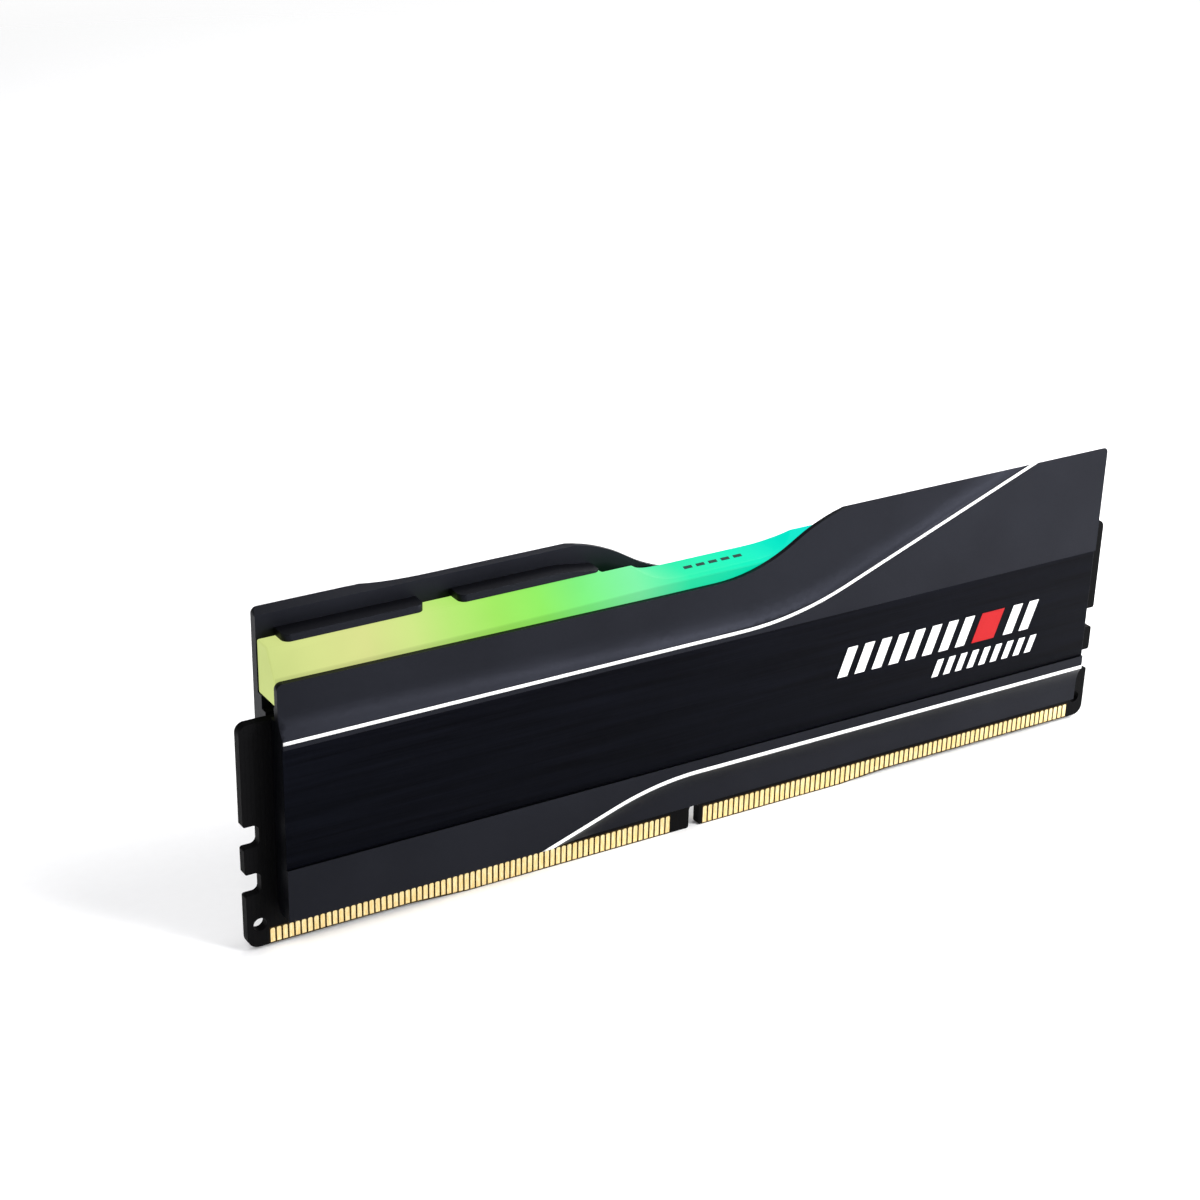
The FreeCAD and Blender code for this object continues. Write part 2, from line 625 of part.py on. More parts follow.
def thermal_pads():
    """Soft pads that fill the room between the chips or the board and the spreader."""
    outer = chip_centres()[-1] + CHIP_WIDTH / 2 + PAD_OVERHANG
    inner = CHIP_FIRST - CHIP_WIDTH / 2 - PAD_OVERHANG
    high = CHIP_FOOT + CHIP_HEIGHT
    chip_top = BOARD_FACE + CHIP_THICK
    power_top = BOARD_FACE + POWER_CHIP[2]
    power_size = (POWER_PAD_SIZE, POWER_PAD_SIZE, CHIP_ROOM_FACE - power_top)
    rear = ROOM_END - REAR_PAD_END_GAP
    rear_top = CHIP_ROOM_TOP - REAR_PAD_TOP_GAP
    return {
        "thermal_pad_left": box(-outer, -inner, -CHIP_ROOM_FACE, -chip_top, CHIP_FOOT, high),
        "thermal_pad_right": box(inner, outer, -CHIP_ROOM_FACE, -chip_top, CHIP_FOOT, high),
        "thermal_pad_power": on_front(power_size, at_power(POWER_CHIP_AT), power_top),
        "thermal_pad_rear": box(-rear, rear, BOARD_FACE, CHIP_ROOM_FACE, REAR_PAD_FROM, rear_top),
    }


def build():
    half = spreader_half()
    strip = inlay()
    parts = {
        "circuit_board": circuit_board(),
        "light_bar": light_bar(),
        "spreader_front": half,
        "spreader_rear": turned(half),
        "inlay_front": strip,
        "inlay_rear": turned(strip),
    }
    for group in (contact_rows(), memory_parts(), power_parts(), light_diodes(), thermal_pads()):
        parts.update(group)
    return parts


os.makedirs("parts", exist_ok=True)
for name, shape in sorted(build().items()):
    shape.exportStep(os.path.join("parts", name + ".step"))
    print(name, len(shape.Solids), round(shape.Volume, 2), shape.isValid())
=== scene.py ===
import math

import bmesh
import bpy
from bpy.props import FloatProperty, FloatVectorProperty, IntProperty, PointerProperty
from mathutils import Matrix, Vector


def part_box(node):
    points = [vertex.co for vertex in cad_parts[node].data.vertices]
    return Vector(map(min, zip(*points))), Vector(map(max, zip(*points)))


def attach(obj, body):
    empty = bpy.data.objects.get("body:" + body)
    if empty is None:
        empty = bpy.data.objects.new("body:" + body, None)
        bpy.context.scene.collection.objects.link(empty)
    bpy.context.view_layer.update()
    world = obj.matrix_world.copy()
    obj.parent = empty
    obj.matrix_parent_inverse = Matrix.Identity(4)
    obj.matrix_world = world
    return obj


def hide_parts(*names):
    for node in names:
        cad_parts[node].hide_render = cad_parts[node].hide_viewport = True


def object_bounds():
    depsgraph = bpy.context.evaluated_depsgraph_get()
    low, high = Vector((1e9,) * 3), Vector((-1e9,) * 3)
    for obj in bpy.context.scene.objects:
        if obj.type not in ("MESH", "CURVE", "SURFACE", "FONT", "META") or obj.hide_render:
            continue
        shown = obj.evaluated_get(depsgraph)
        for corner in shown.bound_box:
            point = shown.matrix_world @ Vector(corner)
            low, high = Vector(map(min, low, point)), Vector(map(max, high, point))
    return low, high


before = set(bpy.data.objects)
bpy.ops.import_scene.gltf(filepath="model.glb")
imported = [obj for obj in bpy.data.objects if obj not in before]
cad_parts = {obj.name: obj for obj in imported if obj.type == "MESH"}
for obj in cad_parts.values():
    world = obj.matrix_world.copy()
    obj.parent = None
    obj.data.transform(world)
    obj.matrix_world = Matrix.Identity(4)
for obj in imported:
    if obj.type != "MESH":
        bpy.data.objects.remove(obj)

bl_info = {
    "name": "Memory Module Finishes",
    "version": (1, 0, 0),
    "blender": (4, 5, 0),
    "location": "3D View > Sidebar > Module",
    "description": "Finishes the packed model of a desktop memory module with a light bar",
    "category": "Object",
}

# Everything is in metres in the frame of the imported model: X along the module, its front
# face towards -Y, Z up, and the middle of the contact edge at the origin.
MM = 0.001
CAD_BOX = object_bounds()
HALF_TURN = Matrix.Rotation(math.pi, 4, "Z")

FRONT_LOW, FRONT_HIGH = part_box("spreader_front")
INLAY_LOW, INLAY_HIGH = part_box("inlay_front")
BAR_LOW, BAR_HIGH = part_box("light_bar")
LEFT_PADS_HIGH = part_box("contacts_front_left")[1]
RIGHT_PADS_LOW, RIGHT_PADS_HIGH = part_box("contacts_front_right")
FACE = FRONT_LOW.y
HALF_LENGTH = FRONT_HIGH.x
SADDLE_FLOOR = BAR_HIGH.z - 2 * MM

# The solder mask is open round the contacts, this far past them.
MASK_MARGIN = 0.12 * MM
MASK_TOP = LEFT_PADS_HIGH.z + MASK_MARGIN
MASK_REACH = RIGHT_PADS_HIGH.x + MASK_MARGIN
KEY_MIDDLE = (LEFT_PADS_HIGH.x + RIGHT_PADS_LOW.x) / 2
KEY_BLANK = RIGHT_PADS_LOW.x - LEFT_PADS_HIGH.x - 2 * MASK_MARGIN

# The painted lines: level, then sloping from a rounded bend.
UPPER_LINE = {
    "level": INLAY_HIGH.z + 0.95 * MM, "bend_at": 11.05 * MM, "slope": 0.38, "radius": 46 * MM}
LOWER_LINE = {
    "level": INLAY_LOW.z - 1.77 * MM, "bend_at": -9.75 * MM, "slope": 0.337, "radius": -40 * MM}
LOWER_LINE_START = -32 * MM
LINE_POINTS = 96

# The printed bars and dashes in millimetres: pitch, width, height, slant.
LARGE_BAR = (2.85, 1.6, 4.2, 1.5)
ACCENT_BAR = (5.0, 3.9, 4.2, 1.5)
SMALL_BAR = (2.05, 1.05, 2.5, 0.9)
DASH = (1.9, 1.25, 0.75, 0.2)
# The middle heights of the two rows of bars, and x of the first bar of each run.
FIRST_LEVEL = 20.9
SECOND_LEVEL = 16.3
FIRST_START = 19.6
ACCENT_START = 43.6
LAST_START = 48.0
SECOND_START = 35.6
DASH_COUNT = 5
DASH_START = -3.8
DASH_PLACE = -0.15 * MM      # across the light bar

# Points of a CAD mesh this close are one, and faces turned less than this are flat.
MERGE = 0.002 * MM
FLAT = math.radians(0.3)
ROUNDED_FROM = math.radians(28)

# Lights: place and side of the shining square, in metres.
KEY_LIGHT = ((0.42, 0.20, 0.40), 0.40)
FRONT_LIGHT = ((0.30, -0.32, 0.42), 0.30)
LOW_LIGHT = ((0.42, -0.53, 0.12), 0.20)
FILL_LIGHT = ((-0.32, -0.28, 0.45), 0.30)
AIM = Vector((0, 0, 22 * MM))
FLOOR_SOLID = 0.34           # the floor is whole out to here
FLOOR_REACH = 0.62           # and has thinned out here

# Camera: place, angles in degrees, and the lens and shift that frame the module.
CAMERA_PLACE = Vector((-169.38, -244.5, 167.72)) * MM
CAMERA_AZIMUTH = -30.88
CAMERA_ELEVATION = 26.98
CAMERA_ROLL = 0.99
CAMERA_LENS = 75.55
CAMERA_SHIFT = (0.0385, 0.0913)

# Painted shade and light on the light bar's glow: its upright faces glow less and its level faces more
# than its sloping ones.
UPRIGHT_PAINTED_SHADE = 0.8
LEVEL_PAINTED_LIGHT = 1.05
# Share of the light bar's length and the colour of its glow there.
GLOW_COLOURS = (
    (0.00, "cad785"), (0.10, "d6dc8c"), (0.15, "cbe284"), (0.19, "b5e472"), (0.24, "a0e760"),
    (0.29, "8de860"), (0.34, "7aea7c"), (0.40, "7ceea4"), (0.46, "2ceeae"), (0.53, "00eebc"),
    (0.61, "00ead2"), (0.70, "08c2ea"), (0.80, "468af2"), (0.90, "826eee"), (1.00, "ae70e8"),
)


def linear(code, alpha=None):
    """An sRGB hex colour as linear values, with alpha as a fourth if it is given."""
    values = []
    for start in (0, 2, 4):
        share = int(code[start:start + 2], 16) / 255
        values.append(share / 12.92 if share <= 0.04045 else ((share + 0.055) / 1.055) ** 2.4)
    return values if alpha is None else values + [alpha]


# --- Settings a user would change -------------------------------------------------
class MetalSettings(bpy.types.PropertyGroup):
    body_colour: FloatVectorProperty(
        name="Spreader", description="Dye of the anodised spreader", subtype="COLOR",
        default=linear("1b1c21"))
    inlay_colour: FloatVectorProperty(
        name="Inlay", description="Dye of the brushed inlay strips", subtype="COLOR",
        default=linear("06070c"))
    edge_round: FloatProperty(
        name="Edge rounding", description="Rounding of the spreader's pressed edges",
        default=0.1 * MM, unit="LENGTH")
    inlay_chamfer: FloatProperty(
        name="Inlay edge", description="Rounding of the inlay's cut edges",
        default=0.05 * MM, unit="LENGTH")


class PrintSettings(bpy.types.PropertyGroup):
    ink_colour: FloatVectorProperty(
        name="Ink", description="White of the painted lines and marks", subtype="COLOR",
        default=linear("dededd"))
    accent_colour: FloatVectorProperty(
        name="Accent", description="Red of the single accent bar", subtype="COLOR",
        default=linear("98080e"))
    upper_width: FloatProperty(
        name="Upper line", description="Width of the line under the upper hollow",
        default=0.46 * MM, unit="LENGTH")
    lower_width: FloatProperty(
        name="Lower line", description="Width of the line over the lower hollow",
        default=0.53 * MM, unit="LENGTH")
    film: FloatProperty(
        name="Film", description="How far the paint stands proud of the metal",
        default=0.03 * MM, unit="LENGTH")
    first_row: IntProperty(
        name="First row", description="White bars in the inlay's upper row", default=8, min=1)
    second_row: IntProperty(
        name="Second row", description="White bars in the inlay's lower row", default=9, min=1)


class LightSettings(bpy.types.PropertyGroup):
    glow: FloatProperty(
        name="Glow", description="Light given off by the bar's surface", default=0.93, min=0.0)
    lens_round: FloatProperty(
        name="Lens rounding", description="Rounding of the light bar's moulded edges",
        default=0.22 * MM, unit="LENGTH")


class StageSettings(bpy.types.PropertyGroup):
    floor_colour: FloatVectorProperty(
        name="Floor", description="Colour of the floor", subtype="COLOR", default=linear("fafafa"))
    key_power: FloatProperty(
        name="Key", description="Power of the soft light behind at the right, in watts", default=3.4)
    front_power: FloatProperty(
        name="Front", description="Power of the soft light high at the front, in watts", default=3.2)
    low_power: FloatProperty(
        name="Low", description="Power of the low light at the right, in watts", default=5.6)
    fill_power: FloatProperty(
        name="Fill", description="Power of the weak light at the left, in watts", default=1.2)
    room_light: FloatProperty(
        name="Room", description="Strength of the even light all round", default=0.3)


class ModuleSettings(bpy.types.PropertyGroup):
    metal: PointerProperty(type=MetalSettings)
    ink: PointerProperty(type=PrintSettings)
    light: PointerProperty(type=LightSettings)
    stage: PointerProperty(type=StageSettings)


# --- Node and mesh helpers --------------------------------------------------------
def add(tree, kind, sockets=None, **settings):
    """Adds a node with its settings. sockets maps an input to a constant or to a link."""
    node = tree.nodes.new(kind)
    for name, value in settings.items():
        setattr(node, name, value)
    for key, value in (sockets or {}).items():
        if isinstance(value, bpy.types.NodeSocket):
            tree.links.new(value, node.inputs[key])
        else:
            node.inputs[key].default_value = value
    return node


def new_material(name):
    """An empty node material, with its tree and its Principled shader."""
    material = bpy.data.materials.new(name)
    material.use_nodes = True
    tree = material.node_tree
    tree.nodes.clear()
    shader = add(tree, "ShaderNodeBsdfPrincipled")
    add(tree, "ShaderNodeOutputMaterial", {"Surface": shader.outputs[0]})
    return material, tree, shader


def grain(tree, size, stretch=(1, 1, 1), detail=2.0, roughness=0.5):
    """Noise in object space whose grains are size metres, longer along an axis by stretch."""
    place = add(tree, "ShaderNodeTexCoord").outputs["Object"]
    scale = [1 / factor for factor in stretch]
    mapped = add(tree, "ShaderNodeMapping", {"Vector": place, "Scale": scale})
    return add(tree, "ShaderNodeTexNoise", {
        "Vector": mapped.outputs[0], "Scale": 1 / size, "Detail": detail, "Roughness": roughness})


def vary(tree, value, low, high):
    """The 0 to 1 output value spread over low to high."""
    return add(tree, "ShaderNodeMapRange", {
        "Value": value, "From Min": 0.3, "From Max": 0.7, "To Min": low, "To Max": high}).outputs[0]


def tinted(tree, value, dark, light):
    """A colour between dark and light, mixed by the output value."""
    mix = add(tree, "ShaderNodeMix", {0: value}, data_type="RGBA")
    mix.inputs[6].default_value = (*dark, 1.0)
    mix.inputs[7].default_value = (*light, 1.0)
    return mix.outputs[2]


def shade(colour, factor):
    return [channel * factor for channel in colour]


def bump(tree, height, depth, strength=1.0):
    """A bump of the given depth in metres."""
    return add(tree, "ShaderNodeBump", {
        "Height": height, "Distance": depth, "Strength": strength}).outputs[0]


def connect(tree, shader, sockets):
    """Sets the shader's sockets, each to a constant or to a link."""
    for key, value in sockets.items():
        if isinstance(value, bpy.types.NodeSocket):
            tree.links.new(value, shader.inputs[key])
        else:
            shader.inputs[key].default_value = value


def place_piece(name, mesh, replaced=()):
    """Makes an object of a finished mesh, on the module's one body."""
    mesh.name = name
    piece = bpy.data.objects.new(name, mesh)
    bpy.context.scene.collection.objects.link(piece)
    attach(piece, "root")
    if replaced:
        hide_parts(*replaced)
    return piece


def baked(holder, name):
    """The holder's mesh with its modifiers applied; the holder is removed."""
    evaluated = holder.evaluated_get(bpy.context.evaluated_depsgraph_get())
    mesh = bpy.data.meshes.new_from_object(evaluated)
    mesh.name = name
    bpy.data.objects.remove(holder)
    return mesh


def rounded_copy(node, radius, materials, segments=2):
    """A CAD node's mesh with merged points, flat faces joined and its edges rounded.

    The last material goes on the rounded edges.
    """
    shape = bmesh.new()
    shape.from_mesh(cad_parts[node].data)
    bmesh.ops.remove_doubles(shape, verts=shape.verts, dist=MERGE)
    bmesh.ops.dissolve_limit(shape, angle_limit=FLAT, verts=shape.verts, edges=shape.edges)
    mesh = bpy.data.meshes.new(node)
    shape.to_mesh(mesh)
    shape.free()
    mesh.materials.clear()
    for material in materials:
        mesh.materials.append(material)
    for face in mesh.polygons:
        face.material_index = 0
        face.use_smooth = True
    holder = bpy.data.objects.new(node + "_rounding", mesh)
    bpy.context.scene.collection.objects.link(holder)
    edge = holder.modifiers.new("Bevel", "BEVEL")
    edge.width = radius
    edge.segments = segments
    edge.limit_method = "ANGLE"
    edge.angle_limit = ROUNDED_FROM
    edge.use_clamp_overlap = True
    edge.material = len(materials) - 1
    even = holder.modifiers.new("Weighted Normal", "WEIGHTED_NORMAL")
    even.keep_sharp = True
    return baked(holder, node)


# --- Geometry Nodes ---------------------------------------------------------------
def new_tree(name, inputs):
    """A geometry tree with a geometry input and the named inputs (name, kind, default)."""
    tree = bpy.data.node_groups.new(name, "GeometryNodeTree")
    tree.interface.new_socket("Geometry", in_out="INPUT", socket_type="NodeSocketGeometry")
    for label, kind, value in inputs:
        socket = tree.interface.new_socket(label, in_out="INPUT", socket_type="NodeSocket" + kind)
        if value is not None:
            socket.default_value = value
    tree.interface.new_socket("Geometry", in_out="OUTPUT", socket_type="NodeSocketGeometry")
    return tree, add(tree, "NodeGroupInput").outputs


def end_tree(tree, geometry, material):
    """Realizes the tree's instances, sets its material and ends it."""
    real = add(tree, "GeometryNodeRealizeInstances", {0: geometry})
    painted = add(tree, "GeometryNodeSetMaterial", {"Geometry": real.outputs[0], "Material": material})
    add(tree, "NodeGroupOutput", {0: painted.outputs[0]})
    return tree


def line_tree():
    """A painted line: a flat band of even width laid along a curve in the XZ plane."""
    tree, given = new_tree("painted_line", [
        ("Width", "Float", 0.7 * MM), ("Film", "Float", 0.06 * MM), ("Material", "Material", None)])
    upright = add(tree, "GeometryNodeSetCurveNormal", {0: given["Geometry"]}, mode="Z_UP")
    band = add(tree, "GeometryNodeCurvePrimitiveQuadrilateral", {
        "Width": given["Film"], "Height": given["Width"]}, mode="RECTANGLE")
    swept = add(tree, "GeometryNodeCurveToMesh", {
        "Curve": upright.outputs[0], "Profile Curve": band.outputs[0], "Fill Caps": True})
    return end_tree(tree, swept.outputs[0], given["Material"])


def bar_row_tree():
    """A row of equal slanted bars, standing in the XZ plane and raised towards -Y."""
    tree, given = new_tree("bar_row", [
        ("Count", "Int", 6), ("Pitch", "Float", 3 * MM), ("Bar Width", "Float", 1.5 * MM),
        ("Bar Height", "Float", 4 * MM), ("Slant", "Float", 1 * MM), ("Film", "Float", 0.06 * MM),
        ("Place", "Vector", (0, 0, 0)), ("Material", "Material", None)])
    outline = add(tree, "GeometryNodeCurvePrimitiveQuadrilateral", {
        "Bottom Width": given["Bar Width"], "Top Width": given["Bar Width"],
        "Height": given["Bar Height"], "Offset": given["Slant"]}, mode="TRAPEZOID")
    face = add(tree, "GeometryNodeFillCurve", {0: outline.outputs[0]}, mode="NGONS")
    raised = add(tree, "GeometryNodeExtrudeMesh", {
        "Mesh": face.outputs[0], "Offset Scale": given["Film"]})
    back = add(tree, "GeometryNodeFlipFaces", {0: face.outputs[0]})
    whole = add(tree, "GeometryNodeJoinGeometry")
    tree.links.new(raised.outputs[0], whole.inputs[0])
    tree.links.new(back.outputs[0], whole.inputs[0])
    closed = add(tree, "GeometryNodeMergeByDistance", {0: whole.outputs[0], "Distance": 0.001 * MM})
    step = add(tree, "ShaderNodeCombineXYZ", {"X": given["Pitch"]})
    row = add(tree, "GeometryNodeMeshLine", {"Count": given["Count"], "Offset": step.outputs[0]})
    copies = add(tree, "GeometryNodeInstanceOnPoints", {
        "Points": row.outputs[0], "Instance": closed.outputs[0]})
    stood = add(tree, "GeometryNodeTransform", {
        "Geometry": copies.outputs[0], "Translation": given["Place"],
        "Rotation": (math.radians(90), 0, 0)})
    return end_tree(tree, stood.outputs[0], given["Material"])


def grown(name, data, tree, inputs):
    """The plain mesh that a tree makes of data with the named inputs."""
    holder = bpy.data.objects.new(name, data)
    bpy.context.scene.collection.objects.link(holder)
    growth = holder.modifiers.new("Growth", "NODES")
    growth.node_group = tree
    for item in tree.interface.items_tree:
        if item.in_out == "INPUT" and item.name in inputs:
            growth[item.identifier] = inputs[item.name]
    mesh = baked(holder, name)
    mesh.materials.clear()
    mesh.materials.append(inputs["Material"])
    for face in mesh.polygons:
        face.material_index = 0
    return mesh


def turned_copy(mesh):
    """The mesh on the rear half, which is the front turned half way round."""
    copy = mesh.copy()
    copy.transform(HALF_TURN)
    return copy


def joined(meshes, name):
    """One mesh of several that keep their first materials."""
    shape = bmesh.new()
    materials = []
    for mesh in meshes:
        first = len(shape.faces)
        shape.from_mesh(mesh)
        shape.faces.ensure_lookup_table()
        if mesh.materials[0] not in materials:
            materials.append(mesh.materials[0])
        for face in shape.faces[first:]:
            face.material_index = materials.index(mesh.materials[0])
    whole = bpy.data.meshes.new(name)
    shape.to_mesh(whole)
    shape.free()
    for material in materials:
        whole.materials.append(material)
    return whole


# --- Materials --------------------------------------------------------------------
def anodised_aluminium(metal):
    """Aluminium sheet, fine bead-blasted and dyed dark grey: a soft, slightly grainy gloss."""
    material, tree, shader = new_material("anodised_aluminium_blasted")
    blast = grain(tree, 0.22 * MM, detail=3.0, roughness=0.6)      # drawn three times as coarse
    cloud = grain(tree, 14 * MM)
    connect(tree, shader, {
        "Base Color": tinted(
            tree, vary(tree, cloud.outputs[0], 0, 1), shade(metal.body_colour, 0.88),
            shade(metal.body_colour, 1.1)),
        "Metallic": 1.0,
        "Roughness": vary(tree, blast.outputs[0], 0.44, 0.54),
        "Normal": bump(tree, blast.outputs[0], 0.006 * MM, 0.5),
    })
    return material


def painted_highlight_edge(metal):
    """The same sheet at its pressed edges, where the dye is thinner and handling polishes it; its
    colour, two to four times the sheet's, is mostly a painted highlight along the edges.
    """
    material, tree, shader = new_material("anodised_aluminium_edge_painted_highlight")
    edge_mottle = grain(tree, 1.6 * MM, detail=4.0, roughness=0.65)
    connect(tree, shader, {
        # Painted highlight: the edges are coloured two to four times lighter than the sheet, so they
        # read as bright lines.
        "Base Color": tinted(
            tree, vary(tree, edge_mottle.outputs[0], 0, 1), shade(metal.body_colour, 2.0),
            shade(metal.body_colour, 3.8)),
        "Metallic": 1.0,
        "Roughness": vary(tree, edge_mottle.outputs[0], 0.26, 0.36),
    })
    return material


def brushed_aluminium(metal):
    """Black anodised strip brushed along its length: fine level streaks in a dark gloss."""
    material, tree, shader = new_material("anodised_aluminium_brushed")
    # The strokes are drawn a few times as coarse as real ones, so that they show.
    stroke = grain(tree, 0.24 * MM, stretch=(60, 1, 1), detail=4.0, roughness=0.65)
    patch = grain(tree, 1.2 * MM, stretch=(20, 1, 1), detail=2.0)
    both = add(tree, "ShaderNodeMath", {0: stroke.outputs[0], 1: patch.outputs[0]}, operation="ADD")
    half = add(tree, "ShaderNodeMath", {0: both.outputs[0], 1: 0.5}, operation="MULTIPLY")
    connect(tree, shader, {
        "Base Color": tinted(
            tree, vary(tree, half.outputs[0], 0, 1), shade(metal.inlay_colour, 0.45),
            shade(metal.inlay_colour, 1.9)),
        "Metallic": 1.0,
        "Roughness": vary(tree, stroke.outputs[0], 0.38, 0.56),
        "Anisotropic": 0.4,
        "Normal": bump(tree, stroke.outputs[0], 0.012 * MM, 0.6),
    })
    return material


def frosted_acrylic(light):
    """Frosted acrylic lit from below: an even glow whose colour runs along the module.

    Painted light and shade by which way a face points: level faces glow a little more than the sloping
    ones, and upright faces less.
    """
    material, tree, shader = new_material("acrylic_frosted_lit")
    place = add(tree, "ShaderNodeTexCoord").outputs["Object"]
    along = add(tree, "ShaderNodeSeparateXYZ", {0: place}).outputs["X"]
    share = add(tree, "ShaderNodeMapRange", {
        "Value": along, "From Min": BAR_LOW.x, "From Max": BAR_HIGH.x}).outputs[0]
    ramp = add(tree, "ShaderNodeValToRGB", {0: share})
    band = ramp.color_ramp
    for number, (position, code) in enumerate(GLOW_COLOURS):
        if number < 2:
            stop = band.elements[number]
            stop.position = position
        else:
            stop = band.elements.new(position)
        stop.color = linear(code, 1.0)
    frost = grain(tree, 0.35 * MM, detail=3.0)
    pool = grain(tree, 9 * MM, stretch=(1.5, 1, 1))
    # Painted shade and light: the glow is dimmed on upright faces and raised on level ones, by which
    # way each face points.
    facing = add(tree, "ShaderNodeTexCoord").outputs["Normal"]
    sides = add(tree, "ShaderNodeSeparateXYZ", {0: facing})
    across = add(tree, "ShaderNodeMath", {0: sides.outputs["Y"]}, operation="ABSOLUTE").outputs[0]
    upright = add(tree, "ShaderNodeMapRange", {
        "Value": across, "From Min": 0.85, "From Max": 0.98, "To Min": 1.0,
        "To Max": UPRIGHT_PAINTED_SHADE}).outputs[0]
    level = add(tree, "ShaderNodeMapRange", {
        "Value": sides.outputs["Z"], "From Min": 0.9, "From Max": 1.0, "To Min": 1.0,
        "To Max": LEVEL_PAINTED_LIGHT}).outputs[0]
    flat = add(tree, "ShaderNodeMath", {0: upright, 1: level}, operation="MULTIPLY").outputs[0]
    cloudy = vary(tree, pool.outputs[0], 0.95, 1.05)
    soft = add(tree, "ShaderNodeMath", {0: flat, 1: cloudy}, operation="MULTIPLY").outputs[0]
    glow = add(tree, "ShaderNodeVectorMath", {0: ramp.outputs[0]}, operation="SCALE")
    tree.links.new(soft, glow.inputs["Scale"])
    body = add(tree, "ShaderNodeVectorMath", {0: ramp.outputs[0], "Scale": 0.06}, operation="SCALE")
    connect(tree, shader, {
        "Base Color": body.outputs[0],
        "Roughness": vary(tree, frost.outputs[0], 0.4, 0.52),
        "IOR": 1.49,
        "Specular IOR Level": 0.03,
        "Emission Color": glow.outputs[0],
        "Emission Strength": light.glow,
        "Normal": bump(tree, frost.outputs[0], 0.01 * MM, 0.3),
    })
    return material


def paint(name, colour, gloss=0.32):
    """Screen-printed paint: an even, faintly glossy film with a soft unevenness."""
    material, tree, shader = new_material(name)
    film = grain(tree, 0.5 * MM, detail=2.0)
    connect(tree, shader, {
        "Base Color": tinted(tree, vary(tree, film.outputs[0], 0, 1), shade(colour, 0.95), colour),
        "Roughness": vary(tree, film.outputs[0], gloss, gloss + 0.1),
        "IOR": 1.5,
        "Specular IOR Level": 0.15,
        "Normal": bump(tree, film.outputs[0], 0.004 * MM, 0.4),
    })
    return material


def solder_mask():
    """Near-black solder mask over glass-fibre laminate: satin, with copper runs showing as
    faint ridges. The mask stops just above the contacts, where the brown laminate shows."""
    material, tree, shader = new_material("solder_mask_black")
    place = add(tree, "ShaderNodeTexCoord").outputs["Object"]
    axes = add(tree, "ShaderNodeSeparateXYZ", {0: place})
    runs = add(tree, "ShaderNodeTexBrick", {
        "Vector": add(tree, "ShaderNodeCombineXYZ", {
            "X": axes.outputs["Z"], "Y": axes.outputs["X"]}).outputs[0],
        "Scale": 1 / (1.2 * MM), "Mortar Size": 0.05, "Mortar Smooth": 0.6, "Brick Width": 5.0,
        "Row Height": 0.5, "Color1": (1, 1, 1, 1), "Color2": (0.8, 0.8, 0.8, 1),
        "Mortar": (0, 0, 0, 1)})
    weave = grain(tree, 0.6 * MM, detail=3.0)
    mask = tinted(tree, runs.outputs["Color"], linear("040405"), linear("070708"))
    in_row = add(tree, "ShaderNodeMath", {
        0: add(tree, "ShaderNodeMath", {0: axes.outputs["X"]}, operation="ABSOLUTE").outputs[0],
        1: MASK_REACH}, operation="LESS_THAN")
    from_key = add(tree, "ShaderNodeMath", {0: axes.outputs["X"], 1: KEY_MIDDLE}, operation="SUBTRACT")
    past_key = add(tree, "ShaderNodeMath", {
        0: add(tree, "ShaderNodeMath", {0: from_key.outputs[0]}, operation="ABSOLUTE").outputs[0],
        1: KEY_BLANK / 2}, operation="GREATER_THAN")
    below = add(tree, "ShaderNodeMath", {0: axes.outputs["Z"], 1: MASK_TOP}, operation="LESS_THAN")
    here = add(tree, "ShaderNodeMath", {0: in_row.outputs[0], 1: past_key.outputs[0]},
               operation="MULTIPLY")
    bare = add(tree, "ShaderNodeMath", {0: here.outputs[0], 1: below.outputs[0]},
               operation="MULTIPLY")
    laminate = tinted(tree, vary(tree, weave.outputs[0], 0, 1), linear("22190a"), linear("362910"))
    colour = add(tree, "ShaderNodeMix", {0: bare.outputs[0], 6: mask, 7: laminate}, data_type="RGBA")
    connect(tree, shader, {
        "Base Color": colour.outputs[2],
        "Roughness": vary(tree, weave.outputs[0], 0.42, 0.54),
        "IOR": 1.5,
        "Specular IOR Level": 0.03,
        "Normal": bump(tree, runs.outputs["Color"], 0.018 * MM, 0.35),
    })
    return material


def gold_plating():
    """Hard gold over nickel: warm, bright, with fine upright scuffs from the socket."""
    material, tree, shader = new_material("gold_plating_hard")
    scuff = grain(tree, 0.12 * MM, stretch=(1, 1, 8), detail=3.0)
    connect(tree, shader, {
        "Base Color": tinted(
            tree, vary(tree, scuff.outputs[0], 0, 1), linear("ecca80"), linear("fae8b8")),
        "Metallic": 0.9,
        "Roughness": vary(tree, scuff.outputs[0], 0.18, 0.3),
        "Normal": bump(tree, scuff.outputs[0], 0.004 * MM, 0.4),
    })
    return material


def moulding_compound():
    """Epoxy moulding compound of a chip: matt black with a fine sparkle of filler."""
    material, tree, shader = new_material("epoxy_moulding_black")
    filler = grain(tree, 0.09 * MM, detail=3.0, roughness=0.7)
    connect(tree, shader, {
        "Base Color": tinted(
            tree, vary(tree, filler.outputs[0], 0, 1), linear("141516"), linear("2a2b2d")),
        "Roughness": vary(tree, filler.outputs[0], 0.52, 0.7),
        "IOR": 1.55,
        "Normal": bump(tree, filler.outputs[0], 0.01 * MM, 0.6),
    })
    return material


def fired_ceramic(name, dark, light, gloss):
    """Fired ceramic of small parts: a fine, slightly mottled body."""
    material, tree, shader = new_material(name)
    mottle = grain(tree, 0.15 * MM, detail=3.0)
    connect(tree, shader, {
        "Base Color": tinted(tree, vary(tree, mottle.outputs[0], 0, 1), linear(dark), linear(light)),
        "Roughness": vary(tree, mottle.outputs[0], gloss, gloss + 0.14),
        "IOR": 1.6,
        "Normal": bump(tree, mottle.outputs[0], 0.006 * MM, 0.4),
    })
    return material


